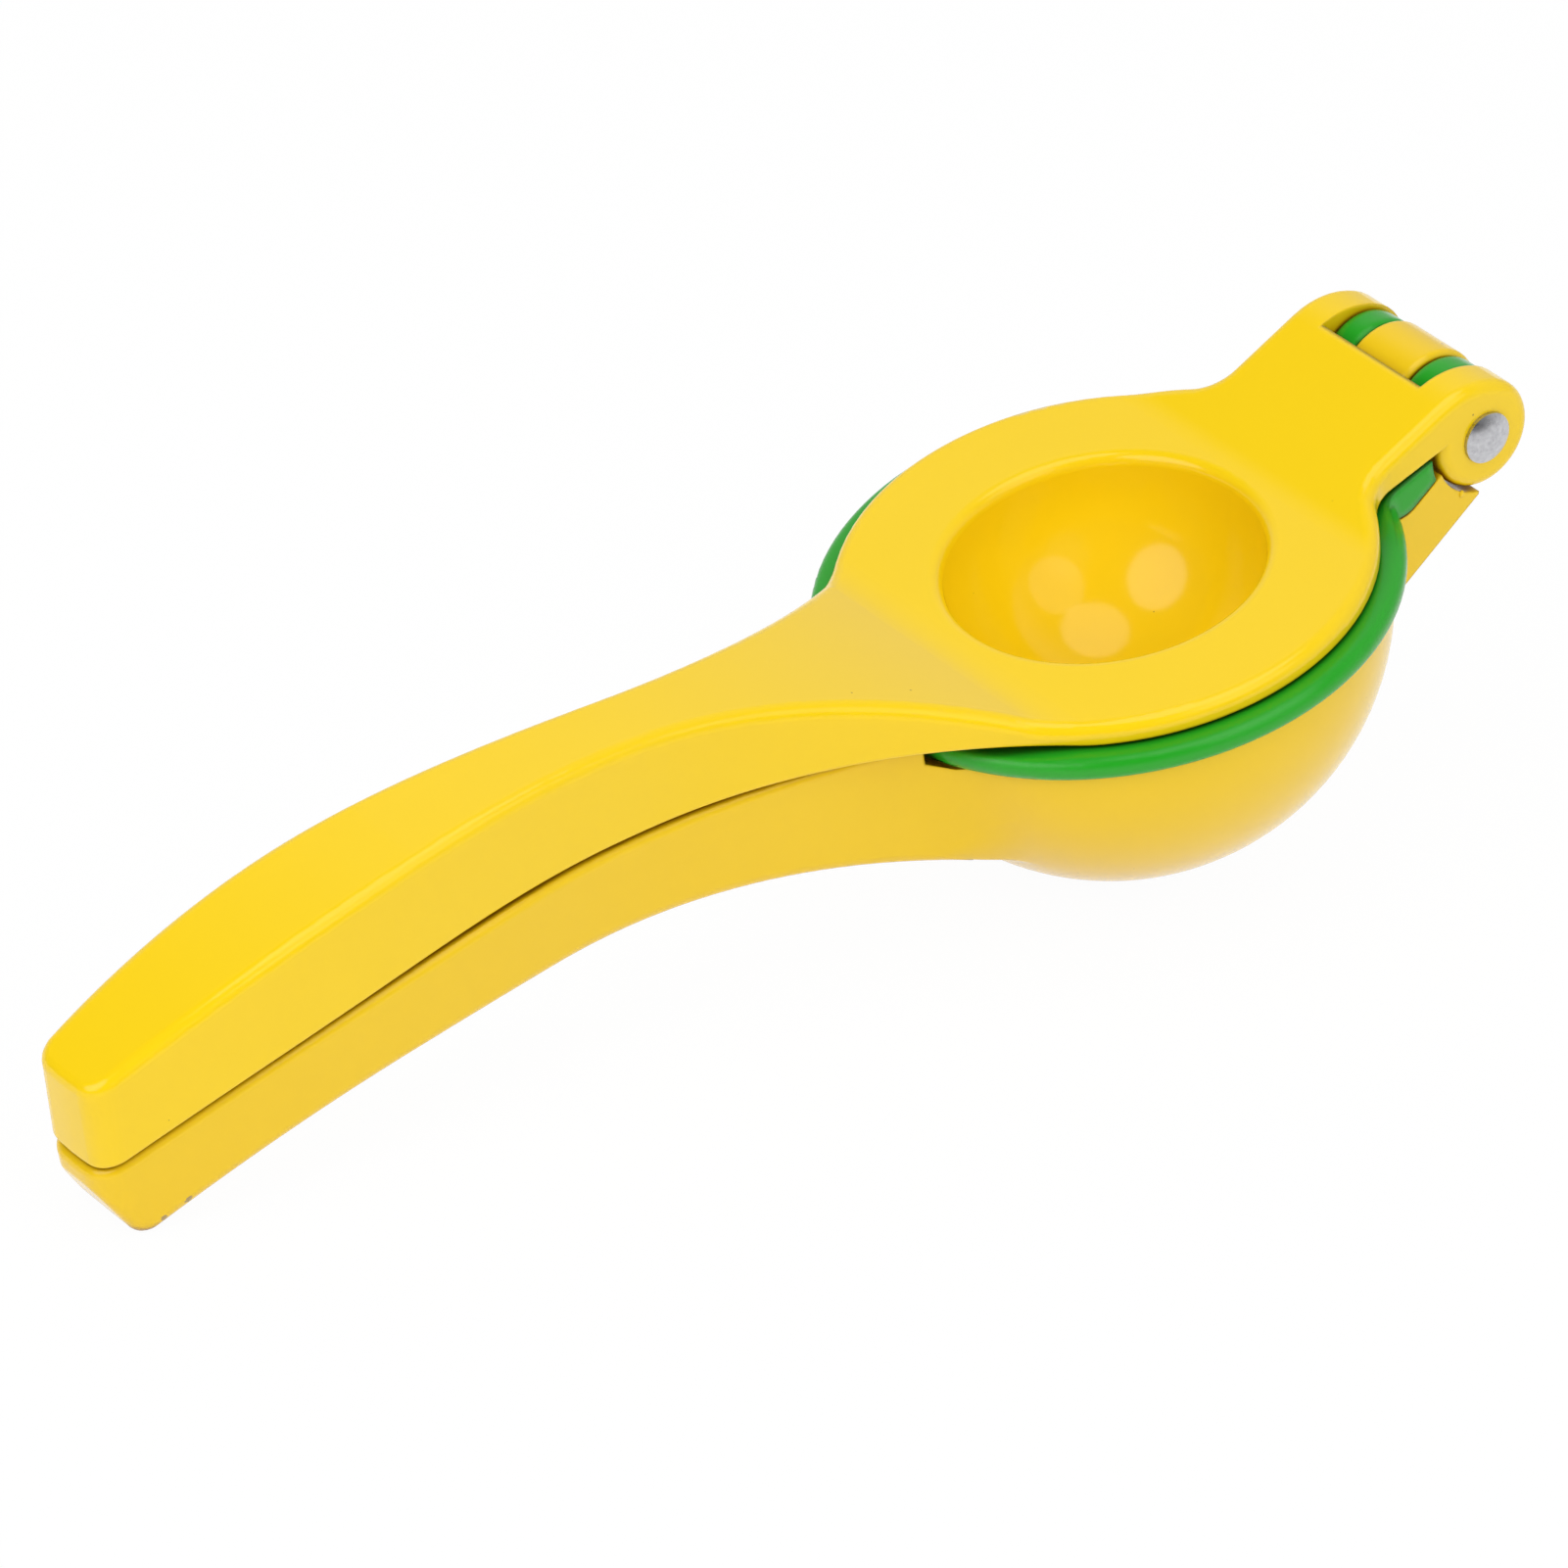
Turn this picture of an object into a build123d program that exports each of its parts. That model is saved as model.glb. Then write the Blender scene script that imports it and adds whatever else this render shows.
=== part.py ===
from build123d import *
import os
from math import acos, asin, atan2, cos, degrees, hypot, radians, sin, sqrt, tan

# A hinged two-size citrus squeezer, die cast and enamelled. A press handle with a hollow dome, a lime cup
# and a lemon cup with its handle are stacked on one hinge rivet. Each piece is modelled with the cups' axis
# upright: the lemon cup's rim is at z = 0, the hinge lies towards +X and the handles towards -X.

# Stack of the cups, millimetres
seat_gap = 0.3
dish_radius = 21.4
dish_wall = 2.6
dish_lip = 1.6
lime_gap = 3.5
bowl_wall = 2.5
bowl_lip = 0.8
lemon_gap = 4.4
cup_wall = 2.8
flange_overhang = 2.0
flange_thickness = 3.0
flange_round = 1.2
plate_inset = 3.2
plate_thickness = 3.0
plate_land = 0.8
plate_under_round = 0.5
ledge_start = 0.5
ledge_gap = 1.9
ledge_rise = 1.6
touch = 0.01
level_share = 0.5

# Drains through the two cups
drain_count = 8
drain_width = 2.6
drain_length = 9.0
drain_ring = 10.5
drain_middle = 2.2

# Hinge
hinge_reach = 12.4
hinge_z = 5.0
hinge_width = 32.0
ear_radius = 7.65
middle_drop = 0.05
knuckle_drop = 0.45
turn_gap = 0.4
slot_gap = 2.05
lug_gap = 1.4
slot_width = 20.4
middle_width = 10.6
side_gap = 0.2
knuckle_round = 0.8
tongue_land = 0.2
tongue_ease = 1.5
tongue_lift = 1.75
tongue_crown = 12.0
tongue_corner = 6.0
tongue_root = 1.5
tongue_under_angle = 9.0
lug_top_angle = 12.0
lug_base_reach = 0.8
lug_tip = 1.6
lug_corner = 3.0
lug_blend = 12.0
lug_ease = 4.0
neck_end_angle = 254.3
neck_end_gap = 0.45
neck_angle = 28.0
rivet_radius = 2.5
rivet_gap = 0.05
head_radius = 3.6
head_rim = 0.5
head_dome = 1.0

# Handles seen from above
waist_reach = 39.8
waist_width = 12.4
swell_reach = 48.5
swell_width = 18.7
tip_reach = 39.3
tip_bow = 40.0
tip_corner = 4.4
cup_root_inset = 12.2

# The press handle's grip, whose sides lean in: its outlines level with the cups' rim and above its arch
grip_base_spread = 1.8
grip_base_shift = 2.5
grip_base_taper = 6.8
grip_base_outset = 0.1
grip_top_lean = 1.6
grip_top_shift = 3.5
grip_top_taper = 4.2
grip_top_inset = 1.8
grip_corner = 4.0
grip_wall = 3.8

# Handles seen from the side: the arched top, the seam between the handles and the arched base
top_crest_reach = 35.5
top_crest_z = 28.3
top_root_gap = 0.6
top_tip_arc = 165.0
top_blend = 12.0
seam_crest_reach = 36.0
seam_crest_z = 14.0
seam_arc = 215.0
seam_slope = 8.0
seam_blend = 20.0
seam_gap = 0.75
base_crest_reach = 43.0
base_crest_z = 1.3
base_root_drop = 18.1
base_tip_arc = 137.0
base_round = 1.6
root_round = 16.0
heel_inset = 5.8
heel_radius = 3.0
end_break = 1.0
handle_wall = 3.0
core_corner = 1.5
core_reach = 14.8
lip_round = 1.2

# Radii, levels and reaches that follow from these
dome_radius = dish_radius + dish_wall
bowl_inside = dome_radius + lime_gap
bowl_radius = bowl_inside + bowl_wall
cavity_radius = bowl_radius + lemon_gap
cup_radius = cavity_radius + cup_wall
flange_radius = cup_radius + flange_overhang
plate_radius = flange_radius - plate_inset
ledge_radius = flange_radius + ledge_gap
hinge_x = flange_radius + hinge_reach
tongue_root_x = dome_radius + tongue_root
lug_base_x = cup_radius + lug_base_reach
cup_root_radius = cup_radius - cup_root_inset
waist_x = -cup_radius - waist_reach
swell_x = waist_x - swell_reach
tip_x = swell_x - tip_reach
heel_x = tip_x + heel_inset
core_x = -cup_radius - core_reach
top_crest_x = waist_x - top_crest_reach
seam_crest_x = waist_x - seam_crest_reach
base_crest_x = waist_x - base_crest_reach
flange_base = seat_gap
flange_top = flange_base + flange_thickness
plate_base = flange_top + seat_gap
plate_top = plate_base + plate_thickness
plate_round = plate_thickness - plate_under_round - plate_land
middle_radius = ear_radius - middle_drop
knuckle_radius = ear_radius - knuckle_drop
half_hinge = hinge_width / 2
half_slot = slot_width / 2
half_middle = middle_width / 2
knuckle_in = half_middle + side_gap
knuckle_out = half_slot - side_gap
ear_clear = ear_radius + turn_gap
slot_radius = ear_radius + slot_gap
lug_clear = ear_radius + lug_gap
ear_reach = hinge_x + ear_radius
low_level = plate_base - seam_gap
bore_radius = rivet_radius + rivet_gap
drain_half_pitch = 180 / drain_count
hinge_line = Axis((hinge_x, 0, hinge_z), (0, 1, 0))
hinge_plane = Plane(origin=(hinge_x, 0, hinge_z), x_dir=(1, 0, 0), z_dir=(0, -1, 0))
rivet_plane = Plane(origin=(hinge_x, 0, hinge_z), x_dir=(0, 1, 0), z_dir=(1, 0, 0))


def arch(x, crest_x, crest_z, arc):
    """The point of an arched line at this x."""
    return (x, crest_z - arc + sqrt(arc**2 - (x - crest_x) ** 2))


def seam_line(drop, end_x):
    """The seam lowered by this much: its end, where its arch turns straight, and its hollow at the root."""
    fall = radians(seam_slope)
    level = plate_base - drop
    crest_z = seam_crest_z - drop
    turn = (seam_crest_x + seam_arc * sin(fall), crest_z - seam_arc * (1 - cos(fall)))
    foot_x = turn[0] + (turn[1] - level) / tan(fall)
    ease = seam_blend * tan(fall / 2)
    meet = (foot_x - ease * cos(fall), level + ease * sin(fall))
    return arch(end_x, seam_crest_x, crest_z, seam_arc), turn, meet, (foot_x + ease, level)


def handle_plan(root, inset, corner):
    """The handle's outline from above: flared from a round root, waisted, swelling and blunt at the tip."""
    waist = waist_width / 2 - inset
    swell = swell_width / 2 - inset
    near = root - inset
    flare = (waist_x**2 + waist**2 - near**2) / (2 * (near - waist))
    flare_y = waist + flare
    run = swell_x - waist_x
    bulge = (run**2 + (flare_y - swell) ** 2 - flare**2) / (2 * (swell - waist))
    bulge_y = swell - bulge
    root_share = near / (near + flare)
    turn_share = flare / (flare + bulge)
    root_point = (waist_x * root_share, flare_y * root_share)
    turn_point = (waist_x + run * turn_share, flare_y + (bulge_y - flare_y) * turn_share)
    bow = tip_bow - inset
    bow_x = tip_x + tip_bow
    apart = hypot(bow_x - swell_x, bulge_y)
    along = (apart**2 + bow**2 - bulge**2) / (2 * apart)
    across = sqrt(bow**2 - along**2)
    to_bulge = ((swell_x - bow_x) / apart, bulge_y / apart)
    tip_point = (
        bow_x + to_bulge[0] * along + to_bulge[1] * across,
        to_bulge[1] * along - to_bulge[0] * across,
    )
    with BuildSketch() as plan:
        with BuildLine():
            Line((0, 0), root_point)
            RadiusArc(root_point, turn_point, flare)
            RadiusArc(turn_point, tip_point, -bulge)
            RadiusArc(tip_point, (tip_x + inset, 0), -bow)
            mirror(about=Plane.XZ)
        make_face()
        fillet(plan.vertices().sort_by_distance(tip_point)[0], corner)
        fillet(plan.vertices().sort_by_distance((tip_point[0], -tip_point[1]))[0], corner)
    return plan.sketch


def grip_outline(swell, reach, end, end_x):
    """The press handle's grip from above: from its waist over a swell to a bowed end."""
    waist = (waist_x, waist_width / 2)
    corner_x = end_x + end**2 / (8 * tip_bow)
    with BuildSketch() as plan:
        with BuildLine():
            run = corner_x - waist_x + reach
            side = Spline(
                waist,
                (waist_x - reach, swell / 2),
                (corner_x, end / 2),
                tangents=((-1, 0), (run, end - swell)),
            )
            mirror(side, about=Plane.XZ)
            RadiusArc((corner_x, end / 2), (corner_x, -end / 2), -tip_bow)
            Line(waist, (waist_x, -waist_width / 2))
        make_face()
    return plan.sketch


def outline(faces):
    """The edges round a patch of faces."""
    edges = [edge for face in faces for edge in face.edges()]
    return ShapeList(edge for edge in edges if sum(edge.is_same(other) for other in edges) == 1)


def upright(edge):
    """Whether an edge stands up rather than lying level."""
    return abs(edge.tangent_at(0.5).Z) > level_share


def on_cup_root(edge):
    """Whether an edge is where the lower handle runs into the outside of the lemon cup."""
    point = edge @ 0.5
    off_cup = hypot(point.X, point.Y, min(point.Z, 0)) - cup_radius
    return point.X < 0 and point.Z < top_crest_z - touch and abs(point.Z) > touch and abs(off_cup) < touch


def off_ledge(edge):
    """Whether an edge lies clear of the ledge that the lower handle leaves round the flange."""
    point = edge @ 0.5
    return hypot(point.X, point.Y) > ledge_radius + touch


# The tongue's top rises as a straight slope and rolls over a crown onto the round of the ears
tongue_foot_x = dish_radius + dish_lip + tongue_land + tongue_ease
foot_run = hinge_x - tongue_foot_x
foot_rise = hinge_z - plate_top
slope = atan2(foot_rise, foot_run) + asin((ear_radius + tongue_lift) / hypot(foot_run, foot_rise))
crown_drop = tongue_crown - ear_radius - tongue_lift
crown_back = sqrt((tongue_crown - ear_radius) ** 2 - crown_drop**2)
crown_x = hinge_x - crown_back * cos(slope) + crown_drop * sin(slope)
crown_z = hinge_z - crown_back * sin(slope) - crown_drop * cos(slope)
crown_start = (crown_x - tongue_crown * sin(slope), crown_z + tongue_crown * cos(slope))
crown_share = tongue_crown / (tongue_crown - ear_radius)
crown_end = (crown_x + (hinge_x - crown_x) * crown_share, crown_z + (hinge_z - crown_z) * crown_share)
tongue_blend = tongue_ease / tan(slope / 2)
tongue_start = (tongue_foot_x - tongue_ease, plate_top)
tongue_end = (tongue_foot_x + tongue_ease * cos(slope), plate_top + tongue_ease * sin(slope))
lug_end_x = hinge_x - ear_radius / 2
tongue_under_rise = (lug_end_x - tongue_root_x) * tan(radians(tongue_under_angle))
lug_top_rise = (lug_end_x - bowl_radius) * tan(radians(lug_top_angle))
lug_base_rise = flange_thickness + lug_top_rise - lug_tip

# The top leaves the flat of the plate beside the dish's lip in a hollow that lifts it onto its arch
top_crest = (top_crest_x, top_crest_z)
top_start = (-dish_radius - dish_lip - top_root_gap, plate_top)
top_run = top_start[0] - top_crest_x
top_fall = top_crest_z - plate_top - top_blend
top_root_arc = (top_run**2 + top_fall**2 - top_blend**2) / (2 * (top_blend + top_fall))
top_share = top_root_arc / (top_root_arc + top_blend)
top_meet = (
    top_crest_x + top_run * top_share,
    top_crest_z - top_root_arc + (top_root_arc - top_fall) * top_share,
)

# Where the handles' arched lines end at the tip
top_end = arch(tip_x - tip_corner, top_crest_x, top_crest_z, top_tip_arc)
seam_end, seam_turn, seam_meet, seam_start = seam_line(0, tip_x - tip_corner)

# The channel that hollows the press handle from below
with BuildPart() as press_core:
    with BuildSketch(Plane.XY):
        add(handle_plan(plate_radius, grip_wall, core_corner))
    extrude(amount=flange_radius, both=True)
    with BuildSketch(Plane.XZ):
        with BuildLine():
            core_near = arch(core_x, top_crest_x, top_crest_z - handle_wall, top_root_arc)
            core_crest = (top_crest_x, top_crest_z - handle_wall)
            core_far = arch(tip_x, top_crest_x, top_crest_z - handle_wall, top_tip_arc)
            RadiusArc(core_near, core_crest, -top_root_arc)
            RadiusArc(core_crest, core_far, -top_tip_arc)
            Polyline(core_far, (tip_x, -cup_radius), (core_x, -cup_radius), core_near)
        make_face()
    extrude(amount=flange_radius, both=True, mode=Mode.INTERSECT)

# The grip of the press handle, with its leaning sides
with BuildPart() as grip:
    with BuildSketch(Plane.XY):
        grip_base = swell_width + grip_base_spread
        base_reach = swell_reach + grip_base_shift
        add(grip_outline(grip_base, base_reach, grip_base - grip_base_taper, tip_x - grip_base_outset))
    with BuildSketch(Plane.XY.offset(top_crest_z + handle_wall)):
        grip_top = swell_width - grip_top_lean
        top_reach = swell_reach - grip_top_shift
        add(grip_outline(grip_top, top_reach, grip_top - grip_top_taper, tip_x + grip_top_inset))
    loft(ruled=True)

# The round of the hinge ears, before the slot parts them
with BuildPart() as ears:
    with BuildSketch(hinge_plane):
        Circle(ear_radius)
    extrude(amount=half_hinge, both=True)
    fillet(ears.edges().filter_by(GeomType.CIRCLE), plate_round)

# Press handle: plate and handle in one casting, with the hollow press dome and two hinge ears
with BuildPart() as press_handle:
    with BuildSketch(Plane.XY) as press_plan:
        add(handle_plan(plate_radius, 0, tip_corner))
        with Locations((waist_x, 0)):
            Rectangle(cup_radius - tip_x, flange_radius, align=(Align.MAX, Align.CENTER), mode=Mode.SUBTRACT)
        Circle(plate_radius)
        Rectangle(ear_reach, hinge_width, align=(Align.MIN, Align.CENTER))
        fillet(press_plan.vertices().filter_by_position(Axis.X, dish_radius, flange_radius), tongue_corner)
    extrude(amount=flange_radius, both=True)
    add(grip.part)
    with BuildSketch(Plane.XZ):
        with BuildLine():
            RadiusArc(crown_end, crown_start, -tongue_crown)
            Line(crown_start, tongue_end)
            RadiusArc(tongue_end, tongue_start, tongue_blend)
            Line(tongue_start, top_start)
            RadiusArc(top_start, top_meet, top_blend)
            RadiusArc(top_meet, top_crest, -top_root_arc)
            RadiusArc(top_crest, top_end, -top_tip_arc)
            Line(top_end, seam_end)
            RadiusArc(seam_end, seam_turn, seam_arc)
            Line(seam_turn, seam_meet)
            RadiusArc(seam_meet, seam_start, -seam_blend)
            tongue_under = FilletPolyline(
                seam_start,
                (tongue_root_x, plate_base),
                (lug_end_x, plate_base + tongue_under_rise),
                radius=lug_blend,
            )
            Polyline(tongue_under @ 1, (hinge_x, hinge_z), crown_end)
        make_face()
    extrude(amount=flange_radius, both=True, mode=Mode.INTERSECT)
    end_edges = press_handle.edges().filter_by_position(Axis.X, tip_x - tip_corner, heel_x)
    fillet(end_edges.filter_by(upright), grip_corner)
    top_faces = press_handle.faces().filter_by(lambda face: face.normal_at().Z > level_share)
    fillet(outline(top_faces).filter_by(Axis.Y, reverse=True), plate_round)
    under_faces = press_handle.faces().filter_by(lambda face: face.normal_at().Z < -level_share)
    under_rim = outline(under_faces).filter_by(Axis.Y, reverse=True)
    fillet(under_rim, plate_under_round)
    with BuildSketch(Plane.XZ):
        with BuildLine():
            RadiusArc((dome_radius, plate_top), (0, plate_top - dome_radius), dome_radius)
            Polyline((0, plate_top - dome_radius), (0, plate_top), (dome_radius, plate_top))
        make_face()
    revolve(axis=Axis.Z)
    add(ears.part)
    with BuildSketch(Plane.XZ):
        with BuildLine():
            RadiusArc((dish_radius, plate_top), (0, plate_top - dish_radius), dish_radius)
            Polyline((0, plate_top - dish_radius), (0, plate_top), (dish_radius, plate_top))
        make_face()
    revolve(axis=Axis.Z, mode=Mode.SUBTRACT)
    top_rings = press_handle.edges().filter_by(GeomType.CIRCLE).filter_by_position(Axis.Z, plate_top, plate_top)
    fillet(top_rings.sort_by(SortBy.RADIUS)[0], dish_lip)
    with BuildSketch(hinge_plane):
        Circle(slot_radius)
    extrude(amount=half_slot, both=True, mode=Mode.SUBTRACT)
    with BuildSketch(hinge_plane):
        Circle(bore_radius)
    extrude(amount=half_hinge, both=True, mode=Mode.SUBTRACT)
    add(press_core.part, mode=Mode.SUBTRACT)

# The lime cup's lug, which rises and thins from the flange towards the hinge
with BuildPart() as lug:
    with BuildSketch(Plane.XY) as lug_plan:
        Circle(flange_radius - flange_round)
        Rectangle(hinge_x, hinge_width, align=(Align.MIN, Align.CENTER))
        fillet(lug_plan.vertices().filter_by_position(Axis.X, dish_radius, flange_radius), lug_corner)
    extrude(amount=flange_radius, both=True)
    with BuildSketch(Plane.XZ):
        with BuildLine():
            lug_upper = FilletPolyline(
                (dome_radius, flange_top),
                (bowl_radius, flange_top),
                (lug_end_x, flange_top + lug_top_rise),
                radius=lug_blend,
            )
            lug_lower = FilletPolyline(
                (dome_radius, flange_base),
                (lug_base_x, flange_base),
                (lug_end_x, flange_base + lug_base_rise),
                radius=lug_ease,
            )
            Line(lug_upper @ 0, lug_lower @ 0)
            Line(lug_upper @ 1, lug_lower @ 1)
        make_face()
    extrude(amount=flange_radius, both=True, mode=Mode.INTERSECT)

# One of the lime cup's two hinge knuckles
with BuildPart() as knuckle:
    with BuildSketch(hinge_plane.offset(knuckle_in)):
        Circle(knuckle_radius)
    extrude(amount=knuckle_out - knuckle_in)
    fillet(knuckle.edges().filter_by(GeomType.CIRCLE), knuckle_round)

# Lime cup: a round-edged flange with a bowl below it, and the lug that ends in two knuckles
with BuildPart() as lime_cup:
    with BuildSketch(Plane.XZ) as flange_section:
        with Locations((0, flange_base)):
            Rectangle(flange_radius, flange_thickness, align=(Align.MIN, Align.MIN))
        fillet(flange_section.vertices().group_by(Axis.X)[-1], flange_round)
    revolve(axis=Axis.Z)
    add(lug.part)
    with BuildSketch(Plane.XZ):
        with BuildLine():
            RadiusArc((bowl_radius, flange_top), (0, flange_top - bowl_radius), bowl_radius)
            Polyline((0, flange_top - bowl_radius), (0, flange_top), (bowl_radius, flange_top))
        make_face()
    revolve(axis=Axis.Z)
    with BuildSketch(Plane.XZ):
        with BuildLine():
            RadiusArc((bowl_inside, flange_top), (0, flange_top - bowl_inside), bowl_inside)
            Polyline((0, flange_top - bowl_inside), (0, flange_top), (bowl_inside, flange_top))
        make_face()
    revolve(axis=Axis.Z, mode=Mode.SUBTRACT)
    lime_rings = lime_cup.edges().filter_by(GeomType.CIRCLE).filter_by_position(Axis.Z, flange_top, flange_top)
    fillet(lime_rings.sort_by(SortBy.RADIUS)[0], bowl_lip)
    with BuildSketch(Plane.XY):
        Circle(drain_middle)
        with PolarLocations(drain_ring, drain_count, start_angle=drain_half_pitch):
            SlotOverall(drain_length, drain_width)
    extrude(amount=-cup_radius, mode=Mode.SUBTRACT)
    with BuildSketch(hinge_plane):
        Circle(ear_clear)
    extrude(amount=knuckle_in, both=True, mode=Mode.SUBTRACT)
    for side in (1, -1):
        with BuildSketch(hinge_plane.offset(side * knuckle_out)):
            Circle(lug_clear)
        extrude(amount=side * half_hinge, mode=Mode.SUBTRACT)
    add(knuckle.part)
    mirror(knuckle.part, about=Plane.XZ)
    with BuildSketch(hinge_plane):
        Circle(bore_radius)
    extrude(amount=half_hinge, both=True, mode=Mode.SUBTRACT)

# Lower handle, side view: a seam under the press handle's, a heel at the tip and an arched base
low_end, low_turn, low_meet, low_start = seam_line(seam_gap, tip_x - end_break)
base_crest = (base_crest_x, base_crest_z)
base_centre_z = base_crest_z - base_tip_arc
heel_z = base_centre_z + sqrt((base_tip_arc + heel_radius) ** 2 - (heel_x - base_crest_x) ** 2)
heel_share = heel_radius / (base_tip_arc + heel_radius)
heel_base = (heel_x + (base_crest_x - heel_x) * heel_share, heel_z + (base_centre_z - heel_z) * heel_share)
end_run = hypot(low_end[0] - heel_x, low_end[1] - heel_z)
heel_turn = atan2(low_end[1] - heel_z, low_end[0] - heel_x) + acos(heel_radius / end_run)
heel_end = (heel_x + heel_radius * cos(heel_turn), heel_z + heel_radius * sin(heel_turn))
base_meet_run = sqrt(cup_radius**2 - base_root_drop**2) + base_crest_x
base_fall = base_crest_z + base_root_drop
base_root_arc = (base_meet_run**2 + base_fall**2) / (2 * base_fall)
base_root = arch(-dome_radius, *base_crest, base_root_arc)
seam_cut_end = arch(tip_x - tip_corner, seam_crest_x, seam_crest_z - seam_gap, seam_arc)

# The channel that hollows the lower handle from above
with BuildPart() as lower_core:
    with BuildSketch(Plane.XY):
        add(handle_plan(cup_root_radius, handle_wall, core_corner))
    extrude(amount=flange_radius, both=True)
    with BuildSketch(Plane.XZ):
        with BuildLine():
            floor_near = arch(core_x, base_crest_x, base_crest_z + handle_wall, base_root_arc)
            floor_crest = (base_crest_x, base_crest_z + handle_wall)
            floor_far = arch(heel_x, base_crest_x, base_crest_z + handle_wall, base_tip_arc)
            RadiusArc(floor_near, floor_crest, -base_root_arc)
            RadiusArc(floor_crest, floor_far, -base_tip_arc)
            Polyline(floor_far, (heel_x, top_crest_z), (core_x, top_crest_z), floor_near)
        make_face()
    extrude(amount=flange_radius, both=True, mode=Mode.INTERSECT)

# Neck between the lemon cup and the hinge: its end follows the round of the ears
neck_end_radius = ear_clear + neck_end_gap
neck_end = (
    hinge_x + neck_end_radius * cos(radians(neck_end_angle)),
    hinge_z + neck_end_radius * sin(radians(neck_end_angle)),
)
neck_foot = (dome_radius, neck_end[1] - (neck_end[0] - dome_radius) * tan(radians(neck_angle)))

# The middle knuckle of the hinge
with BuildPart() as middle_knuckle:
    with BuildSketch(hinge_plane):
        Circle(middle_radius)
    extrude(amount=half_middle, both=True)
    fillet(middle_knuckle.edges().filter_by(GeomType.CIRCLE), knuckle_round)

# Lemon cup with its handle: one casting, with the neck and the middle knuckle of the hinge
with BuildPart() as lemon_cup_handle:
    with BuildSketch(Plane.XY):
        add(handle_plan(cup_root_radius, 0, tip_corner))
    extrude(amount=flange_radius, both=True)
    with BuildSketch(Plane.XZ):
        with BuildLine():
            Polyline((0, top_crest_z), (low_end[0], top_crest_z), low_end, heel_end)
            RadiusArc(heel_end, heel_base, -heel_radius)
            RadiusArc(heel_base, base_crest, base_tip_arc)
            RadiusArc(base_crest, base_root, base_root_arc)
            Polyline(base_root, (0, base_root[1]), (0, top_crest_z))
        make_face()
    extrude(amount=flange_radius, both=True, mode=Mode.INTERSECT)
    base_faces = lemon_cup_handle.faces().filter_by(lambda face: face.normal_at().Z < -level_share)
    base_rim = outline(base_faces).filter_by(Axis.Y, reverse=True)
    fillet(base_rim.filter_by(lambda edge: edge.center().X < -cup_radius), base_round)
    with BuildSketch(Plane.XZ):
        with BuildLine():
            RadiusArc((cup_radius, 0), (0, -cup_radius), cup_radius)
            Polyline((0, -cup_radius), (0, top_crest_z), (cup_radius, top_crest_z), (cup_radius, 0))
        make_face()
    revolve(axis=Axis.Z)
    fillet(lemon_cup_handle.edges().filter_by(on_cup_root), root_round)
    with BuildSketch(Plane.XZ):
        with BuildLine():
            Line((flange_radius, low_level), low_start)
            RadiusArc(low_start, low_meet, seam_blend)
            Line(low_meet, low_turn)
            RadiusArc(low_turn, seam_cut_end, -seam_arc)
            cut_level = top_crest_z + handle_wall
            Polyline(seam_cut_end, (seam_cut_end[0], cut_level), (flange_radius, cut_level))
            Line((flange_radius, cut_level), (flange_radius, low_level))
        make_face()
    extrude(amount=flange_radius, both=True, mode=Mode.SUBTRACT)
    with BuildSketch(Plane.XZ):
        with BuildLine():
            Polyline((0, 0), (flange_radius - ledge_start, 0), (ledge_radius, ledge_rise))
            Polyline((ledge_radius, ledge_rise), (ledge_radius, plate_top), (0, plate_top), (0, 0))
        make_face()
    revolve(axis=Axis.Z, mode=Mode.SUBTRACT)
    lip_faces = lemon_cup_handle.faces().filter_by(lambda face: face.normal_at().Z > level_share)
    lip_faces = lip_faces.filter_by(lambda face: face.center().X < -ledge_radius)
    fillet(outline(lip_faces).filter_by(off_ledge), lip_round)
    with BuildSketch(Plane.XZ):
        with BuildLine():
            neck_line = FilletPolyline(
                (dome_radius, 0), (lug_base_x, 0), (lug_end_x, lug_base_rise), radius=lug_ease
            )
            Polyline(neck_line @ 1, (hinge_x, hinge_z), neck_end, neck_foot, (dome_radius, 0))
        make_face()
    extrude(amount=half_hinge, both=True)
    add(middle_knuckle.part)
    for side in (1, -1):
        with BuildSketch(hinge_plane.offset(side * half_middle)):
            Circle(ear_clear)
        extrude(amount=side * half_hinge, mode=Mode.SUBTRACT)
    with BuildSketch(hinge_plane):
        Circle(bore_radius)
    extrude(amount=half_middle, both=True, mode=Mode.SUBTRACT)
    with BuildSketch(Plane.XZ):
        with BuildLine():
            RadiusArc((cavity_radius, 0), (0, -cavity_radius), cavity_radius)
            Polyline((0, -cavity_radius), (0, 0), (cavity_radius, 0))
        make_face()
    revolve(axis=Axis.Z, mode=Mode.SUBTRACT)
    with BuildSketch(Plane.XY):
        Circle(drain_middle)
        with PolarLocations(drain_ring, drain_count, start_angle=drain_half_pitch):
            SlotOverall(drain_length, drain_width)
    extrude(amount=-2 * cup_radius, mode=Mode.SUBTRACT)
    add(lower_core.part, mode=Mode.SUBTRACT)

# Hinge rivet: a plain shank with a low domed head on each ear
head_face = half_hinge + head_rim
with BuildPart() as hinge_rivet:
    with BuildSketch(rivet_plane):
        with BuildLine():
            Polyline((0, 0), (0, rivet_radius), (half_hinge, rivet_radius), (half_hinge, head_radius))
            Line((half_hinge, head_radius), (head_face, head_radius))
            TangentArc((head_face + head_dome, 0), (head_face, head_radius), tangent=(0, 1))
            Line((head_face + head_dome, 0), (0, 0))
        make_face()
        mirror(about=Plane.YZ)
    revolve(axis=hinge_line)

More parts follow.
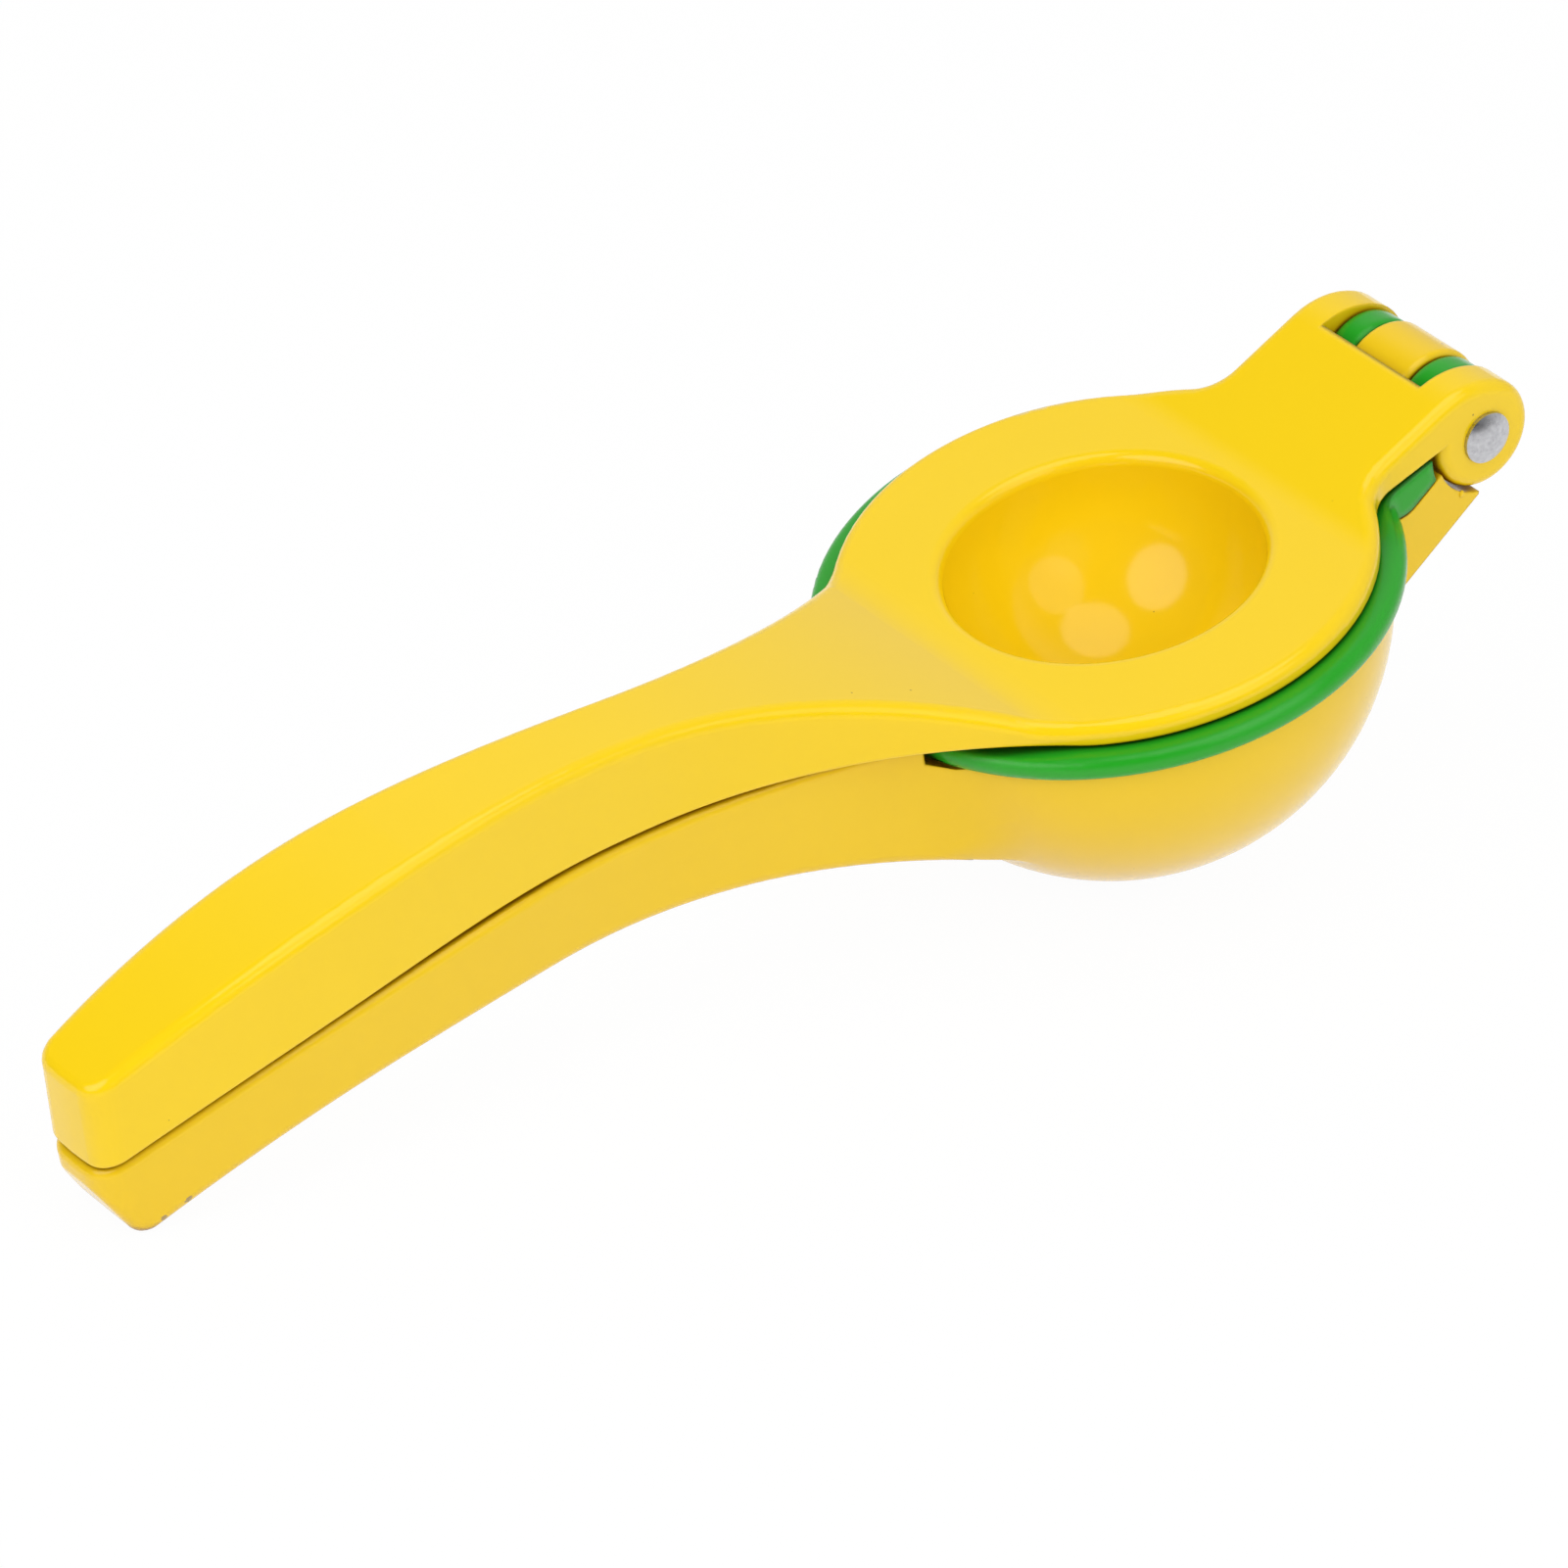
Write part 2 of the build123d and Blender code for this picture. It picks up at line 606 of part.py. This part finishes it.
# At rest the squeezer lies on the round of the lemon cup and the heel of its handle
rest_tilt = degrees(asin((cup_radius - heel_radius) / hypot(heel_x, heel_z)) + atan2(heel_z, -heel_x))
press_handle.part.move(Rot(0, -rest_tilt, 0))
lime_cup.part.move(Rot(0, -rest_tilt, 0))
lemon_cup_handle.part.move(Rot(0, -rest_tilt, 0))
hinge_rivet.part.move(Rot(0, -rest_tilt, 0))
whole = Compound([press_handle.part, lime_cup.part, lemon_cup_handle.part, hinge_rivet.part]).bounding_box()
stand = Pos(-whole.center().X, -whole.center().Y, -whole.min.Z)
press_handle.part.move(stand)
lime_cup.part.move(stand)
lemon_cup_handle.part.move(stand)
hinge_rivet.part.move(stand)

os.makedirs("parts", exist_ok=True)
press_handle.part.label = "press_handle"
export_step(press_handle.part, "parts/press_handle.step")
lime_cup.part.label = "lime_cup"
export_step(lime_cup.part, "parts/lime_cup.step")
lemon_cup_handle.part.label = "lemon_cup_handle"
export_step(lemon_cup_handle.part, "parts/lemon_cup_handle.step")
hinge_rivet.part.label = "hinge_rivet"
export_step(hinge_rivet.part, "parts/hinge_rivet.step")

for piece in (press_handle, lime_cup, lemon_cup_handle, hinge_rivet):
    print(piece.part.label, piece.part.is_valid, round(piece.part.volume), piece.part.bounding_box())
hinge_at_rest = stand * Rot(0, -rest_tilt, 0) * Pos(hinge_x, 0, hinge_z)
print("rest tilt", rest_tilt, "stand", stand.position, "hinge axis", hinge_at_rest.position)
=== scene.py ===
from math import radians

import bmesh
import bpy
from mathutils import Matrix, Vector


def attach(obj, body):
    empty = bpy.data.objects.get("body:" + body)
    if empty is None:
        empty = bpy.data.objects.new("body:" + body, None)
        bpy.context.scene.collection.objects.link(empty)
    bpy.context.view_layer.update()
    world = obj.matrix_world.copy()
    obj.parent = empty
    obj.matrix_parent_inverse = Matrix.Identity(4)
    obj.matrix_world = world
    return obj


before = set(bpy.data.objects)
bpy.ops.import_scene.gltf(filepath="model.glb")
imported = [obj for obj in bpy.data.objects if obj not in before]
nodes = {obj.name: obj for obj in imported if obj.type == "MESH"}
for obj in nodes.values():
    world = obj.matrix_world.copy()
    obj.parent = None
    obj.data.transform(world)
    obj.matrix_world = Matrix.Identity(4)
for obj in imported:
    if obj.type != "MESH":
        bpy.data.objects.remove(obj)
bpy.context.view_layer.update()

# Press handle: the upper casting, with the plate, the hollow dome and the two hinge ears.
# Cast aluminium, sprayed and baked in a glossy yellow enamel that rounds every edge a little.
# The cups have the same enamel in other colours, so its coat, flaws and skin are written here.
mm = 0.001


def add_node(tree, kind, inputs, **settings):
    """Adds a shader node. Each input is a plain value or another node's output."""
    node = tree.nodes.new(kind)
    for setting, choice in settings.items():
        setattr(node, setting, choice)
    for socket, value in inputs.items():
        if isinstance(value, bpy.types.NodeSocket):
            tree.links.new(value, node.inputs[socket])
        else:
            node.inputs[socket].default_value = value
    return node


def worked_out(tree, operation, *values):
    """What a sum or a comparison makes of two or three values."""
    return add_node(tree, "ShaderNodeMath", dict(enumerate(values)), operation=operation).outputs["Value"]


def ranged(tree, value, taken, given, easing="LINEAR"):
    """A value brought from the range taken into the range given."""
    ends = {"From Min": taken[0], "From Max": taken[1], "To Min": given[0], "To Max": given[1]}
    node = add_node(tree, "ShaderNodeMapRange", {"Value": value, **ends}, interpolation_type=easing)
    return node.outputs["Result"]


def laid_over(tree, share, under, over):
    """One colour laid over another, by a share from 0 to 1."""
    node = add_node(tree, "ShaderNodeMix", {"Factor": share, "A": under, "B": over}, data_type="RGBA")
    return node.outputs["Result"]


def tinted(colour, tint):
    """A colour darkened channel by channel."""
    red, green, blue = (channel * share for channel, share in zip(colour, tint))
    return (red, green, blue, 1)


def piece_place(tree):
    """Where a point lies on the piece, so that a pattern stays with it."""
    return add_node(tree, "ShaderNodeTexCoord", {}).outputs["Object"]


def mottling(tree, scale, detail):
    """An uneven pattern with so many waves to the metre."""
    inputs = {"Vector": piece_place(tree), "Scale": scale, "Detail": detail}
    return add_node(tree, "ShaderNodeTexNoise", inputs).outputs["Fac"]


def dust_specks(tree, speck_share):
    """1 on the specks of dust caught in the coat, one in the middle of some cells of a pattern."""
    cells_per_metre = 230
    speck_radius_in_cells = 0.035
    inputs = {"Vector": piece_place(tree), "Scale": cells_per_metre}
    cells = add_node(tree, "ShaderNodeTexVoronoi", inputs)
    draw = add_node(tree, "ShaderNodeSeparateColor", {"Color": cells.outputs["Color"]}).outputs["Red"]
    in_middle = worked_out(tree, "LESS_THAN", cells.outputs["Distance"], speck_radius_in_cells)
    has_speck = worked_out(tree, "LESS_THAN", draw, speck_share)
    return worked_out(tree, "MULTIPLY", in_middle, has_speck)


def chip_mark(tree, centre, reach):
    """1 on a ragged chip round a point on the piece."""
    rag_scale = 1400
    rag_detail = 2
    depth_at_centre = 0.85
    inputs = {0: piece_place(tree), 1: centre}
    away = add_node(tree, "ShaderNodeVectorMath", inputs, operation="DISTANCE").outputs["Value"]
    depth = worked_out(tree, "MULTIPLY_ADD", away, -1 / reach, depth_at_centre)
    return worked_out(tree, "GREATER_THAN", depth, mottling(tree, rag_scale, rag_detail))


def unshaded_share(tree):
    """0 in the mouth of a crevice or seam, where the coat is darkened as painted shade, and 1 on open faces
    and deep inside a joint.
    """
    crevice_reach = 3.5 * mm
    crevice_rays = 16
    full_shade_openness = 0.10
    no_shade_openness = 0.74
    buried_openness = 0.01
    # Ambient occlusion finds the mouths of crevices and seams, where shade falls, and the coat is darkened
    # there as painted shade.
    crevice = add_node(
        tree, "ShaderNodeAmbientOcclusion", {"Distance": crevice_reach}, samples=crevice_rays
    )
    openness = crevice.outputs["AO"]
    on_open_face = ranged(tree, openness, (full_shade_openness, no_shade_openness), (0, 1), "SMOOTHSTEP")
    deep_inside = ranged(tree, openness, (full_shade_openness, buried_openness), (0, 1), "SMOOTHSTEP")
    return worked_out(tree, "MAXIMUM", on_open_face, deep_inside)


def enamel(name, colour, shade, gloss, speck_share, edge, chips):
    """Baked enamel: an uneven coat with specks, chips and painted shade in crevices, rounded edges and a fine
    orange peel.
    """
    refraction = 1.45
    cloud_scale = 45
    cloud_detail = 3
    gloss_swing = 0.03
    speck_tint = (0.45, 0.40, 0.40)
    painted_shade_tint = (0.30, 0.18, 0.10)
    chip_colour = (0.42, 0.30, 0.10, 1)
    edge_rays = 6
    peel_scale = 700
    peel_detail = 1
    peel_strength = 0.06
    peel_depth = 0.1 * mm

    finish = bpy.data.materials.new(name)
    finish.use_nodes = True
    tree = finish.node_tree
    shader = tree.nodes["Principled BSDF"]
    shader.inputs["IOR"].default_value = refraction

    cloud = mottling(tree, cloud_scale, cloud_detail)
    coat = laid_over(tree, cloud, (*colour, 1), (*shade, 1))
    coat = laid_over(tree, dust_specks(tree, speck_share), coat, tinted(colour, speck_tint))
    for chip_centre, chip_reach in chips:
        coat = laid_over(tree, chip_mark(tree, chip_centre, chip_reach), coat, chip_colour)
    # Painted shade: the coat is darkened to a brown tint in the mouths of crevices and in the seams between
    # the castings.
    coat = laid_over(tree, unshaded_share(tree), tinted(colour, painted_shade_tint), coat)
    tree.links.new(coat, shader.inputs["Base Color"])

    roughness = ranged(tree, cloud, (0, 1), (gloss - gloss_swing, gloss + gloss_swing))
    tree.links.new(roughness, shader.inputs["Roughness"])

    rounded = add_node(tree, "ShaderNodeBevel", {"Radius": edge}, samples=edge_rays)
    peel = {
        "Strength": peel_strength,
        "Distance": peel_depth,
        "Height": mottling(tree, peel_scale, peel_detail),
        "Normal": rounded.outputs["Normal"],
    }
    skin = add_node(tree, "ShaderNodeBump", peel)
    tree.links.new(skin.outputs["Normal"], shader.inputs["Normal"])
    return finish


nodes["press_handle"].data.materials[0] = enamel(
    "yellow_enamel_press",
    colour=(0.885, 0.605, 0.006),
    shade=(0.865, 0.585, 0.004),
    gloss=0.13,
    speck_share=0.16,
    edge=0.5 * mm,
    chips=(),
)

# Lime cup: the middle casting, a flat round-edged flange with a slotted bowl under it and a lug to the hinge.
# Cast aluminium in a glossy green enamel, thicker on the edges than the yellow and with fewer specks.
# It swings on the rivet, between the press and the lemon cup.
nodes["lime_cup"].data.materials[0] = enamel(
    "green_enamel",
    colour=(0.017, 0.350, 0.016),
    shade=(0.015, 0.330, 0.013),
    gloss=0.14,
    speck_share=0.05,
    edge=1.6 * mm,
    chips=(),
)

# Lemon cup with its handle: the lower casting, with the slotted cup, the neck and the middle hinge knuckle.
# The same yellow enamel as the press handle, a touch duller. It is chipped twice at the heel,
# where the handle knocks on the worktop, and once on the knuckle.
heel_chip = (Vector((-96.6, -7.5, 3.6)) * mm, 1.3 * mm)
heel_end_chip = (Vector((-99.9, -7.1, 2.0)) * mm, 1.2 * mm)
knuckle_chip = (Vector((106.2, -2.8, 59.7)) * mm, 0.6 * mm)
lemon_enamel = enamel(
    "yellow_enamel_lemon",
    colour=(0.85, 0.565, 0.008),
    shade=(0.83, 0.545, 0.006),
    gloss=0.16,
    speck_share=0.16,
    edge=0.5 * mm,
    chips=(heel_chip, heel_end_chip, knuckle_chip),
)
nodes["lemon_cup_handle"].data.materials[0] = lemon_enamel

# Paint nub: a drop of the lemon cup's enamel that ran to the edge of the neck, below the ear.
# It set there in the oven, a little longer than it is wide.
nub_radius = 0.42 * mm
nub_stretch = (1, 0.8, 1.3)
nub_place = Vector((99.4, -16.0, 45.3)) * mm
nub_rounds = 3
nub_mesh = bmesh.new()
bmesh.ops.create_icosphere(nub_mesh, subdivisions=nub_rounds, radius=nub_radius)
bmesh.ops.scale(nub_mesh, vec=nub_stretch, verts=nub_mesh.verts)
bmesh.ops.translate(nub_mesh, vec=nub_place, verts=nub_mesh.verts)
for nub_face in nub_mesh.faces:
    nub_face.smooth = True
nub_data = bpy.data.meshes.new("paint_nub")
nub_mesh.to_mesh(nub_data)
nub_mesh.free()
paint_nub = bpy.data.objects.new("paint_nub", nub_data)
bpy.context.scene.collection.objects.link(paint_nub)
nub_data.materials.append(lemon_enamel)
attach(paint_nub, "lemon_cup_body")


# Hinge rivet: a plain steel pin through the ears and knuckles of the three castings.
# A low domed head at each end holds it. The heads are tumbled, so the steel is satin and mottled.
def rivet_steel(name):
    """Tumbled steel: light and dark spots, with fine dents."""
    dark_steel = (0.34, 0.34, 0.36, 1)
    light_steel = (0.76, 0.76, 0.78, 1)
    satin_range = (0.22, 0.36)
    spot_scale = 1500
    spot_detail = 5
    dent_strength = 0.15
    dent_depth = 0.1 * mm

    finish = bpy.data.materials.new(name)
    finish.use_nodes = True
    tree = finish.node_tree
    shader = tree.nodes["Principled BSDF"]
    shader.inputs["Metallic"].default_value = 1
    spots = mottling(tree, spot_scale, spot_detail)
    tree.links.new(laid_over(tree, spots, dark_steel, light_steel), shader.inputs["Base Color"])
    tree.links.new(ranged(tree, spots, (0, 1), satin_range), shader.inputs["Roughness"])
    tumbling = {"Strength": dent_strength, "Distance": dent_depth, "Height": spots}
    dents = add_node(tree, "ShaderNodeBump", tumbling)
    tree.links.new(dents.outputs["Normal"], shader.inputs["Normal"])
    return finish


nodes["hinge_rivet"].data.materials[0] = rivet_steel("rivet_steel_satin")

# Floor: a wide sheet of white paper that runs out of the picture on every side.
# It is seen as white, also in reflections, and keeps a faint shadow where the squeezer lies on it.
paper_reach = 6
paper_colour = (0.92, 0.92, 0.92, 1)
paper_roughness = 0.9
paper_glow_share = 0.97
white = (1, 1, 1, 1)
bpy.ops.mesh.primitive_plane_add(size=paper_reach, location=(0, 0, 0))
paper = bpy.context.object
paper.name = "paper_floor"
paper_white = bpy.data.materials.new("paper_white")
paper_white.use_nodes = True
paper_tree = paper_white.node_tree
paper_shader = paper_tree.nodes["Principled BSDF"]
paper_shader.inputs["Base Color"].default_value = paper_colour
paper_shader.inputs["Roughness"].default_value = paper_roughness
paper_glow = add_node(paper_tree, "ShaderNodeEmission", {"Color": white})
paper_rays = add_node(paper_tree, "ShaderNodeLightPath", {}).outputs
paper_seen = worked_out(paper_tree, "MAXIMUM", paper_rays["Is Camera Ray"], paper_rays["Is Glossy Ray"])
paper_seen = worked_out(paper_tree, "MAXIMUM", paper_seen, paper_rays["Is Transmission Ray"])
paper_layers = {
    "Fac": worked_out(paper_tree, "MULTIPLY", paper_seen, paper_glow_share),
    1: paper_shader.outputs["BSDF"],
    2: paper_glow.outputs["Emission"],
}
paper_mix = add_node(paper_tree, "ShaderNodeMixShader", paper_layers)
paper_tree.links.new(paper_mix.outputs["Shader"], paper_tree.nodes["Material Output"].inputs["Surface"])
paper.data.materials.append(paper_white)

# Studio: a white backdrop low down and behind the hinge side, and a dark room in front and overhead.
# Reflections show that room, and the eye sees plain white beyond the paper.
# An even, softer light from all round fills the shadows.
fill_strength = 0.46
backdrop_way = (0.80, 0.35, -0.48)
backdrop_fade = (-0.36, 0.20)
room_strengths = (0.04, 0.65)
horizon_strength = 1
studio = bpy.data.worlds.new("studio")
bpy.context.scene.world = studio
studio.use_nodes = True
room = studio.node_tree
fill = room.nodes["Background"]
fill.inputs["Color"].default_value = white
fill.inputs["Strength"].default_value = fill_strength
room_way = add_node(room, "ShaderNodeTexCoord", {}).outputs["Generated"]
room_side = add_node(room, "ShaderNodeVectorMath", {0: room_way, 1: backdrop_way}, operation="DOT_PRODUCT")
room_glow = ranged(room, room_side.outputs["Value"], backdrop_fade, room_strengths, "SMOOTHSTEP")
mirrored_room = add_node(room, "ShaderNodeBackground", {"Color": white, "Strength": room_glow})
horizon = add_node(room, "ShaderNodeBackground", {"Color": white, "Strength": horizon_strength})
room_rays = add_node(room, "ShaderNodeLightPath", {}).outputs
room_layers = {
    "Fac": worked_out(room, "MAXIMUM", room_rays["Is Glossy Ray"], room_rays["Is Transmission Ray"]),
    1: fill.outputs["Background"],
    2: mirrored_room.outputs["Background"],
}
room_mix = add_node(room, "ShaderNodeMixShader", room_layers)
eye_layers = {
    "Fac": room_rays["Is Camera Ray"],
    1: room_mix.outputs["Shader"],
    2: horizon.outputs["Background"],
}
eye_mix = add_node(room, "ShaderNodeMixShader", eye_layers)
room.links.new(eye_mix.outputs["Shader"], room.nodes["World Output"].inputs["Surface"])

# Lamps: three round soft boxes, overhead, in front and to the left, each seen again as a disc in the dish.
# Two wide screens, low in front and behind, light the flanks and are kept out of the reflections.
# All of them hang round the middle of the dish and face it, at distances and widths in metres.
dish_centre = Vector((52.2, 0, 43.7)) * mm


def hang_lamp(name, way, distance, width, watts, mirrored):
    """Hangs a round lamp in a direction from the dish, facing it."""
    light = bpy.data.lights.new(name, "AREA")
    light.shape = "DISK"
    light.size = width
    light.energy = watts
    lamp = bpy.data.objects.new(name, light)
    lamp.location = dish_centre + Vector(way) * distance
    lamp.rotation_euler = Vector(way).to_track_quat("Z", "Y").to_euler()
    lamp.visible_glossy = mirrored
    bpy.context.scene.collection.objects.link(lamp)


box_distance = 0.95
screen_distance = 1.20
hang_lamp("overhead_lamp", (-0.013, -0.100, 0.995), box_distance, width=0.76, watts=2.35, mirrored=True)
hang_lamp("front_lamp", (0.106, -0.712, 0.694), box_distance, width=0.70, watts=1.25, mirrored=True)
hang_lamp("left_lamp", (-0.835, -0.004, 0.550), box_distance, width=0.78, watts=3.1, mirrored=True)
hang_lamp("flank_screen", (-0.15, -0.88, 0.45), screen_distance, width=0.70, watts=3.25, mirrored=False)
hang_lamp("back_screen", (0.45, 0.78, 0.44), screen_distance, width=1.00, watts=2.9, mirrored=False)

# Camera: a long lens above and in front of the handles' end, looking across them towards the hinge.
# It is turned a little about its own axis. Its place is in metres and its angles are in degrees.
lens_length = 247.3
sensor_width = 36
sight_reach = 20
camera_place = (-0.722067, -0.937035, 0.743134)
camera_pitch = 58.80103
camera_roll = -1.35297
camera_heading = -36.82694
lens = bpy.data.cameras.new("camera")
lens.lens = lens_length
lens.sensor_width = sensor_width
lens.clip_end = sight_reach
camera = bpy.data.objects.new("camera", lens)
camera.location = camera_place
camera.rotation_euler = (radians(camera_pitch), radians(camera_roll), radians(camera_heading))
bpy.context.scene.collection.objects.link(camera)
bpy.context.scene.camera = camera
bpy.context.scene.view_settings.view_transform = "Standard"
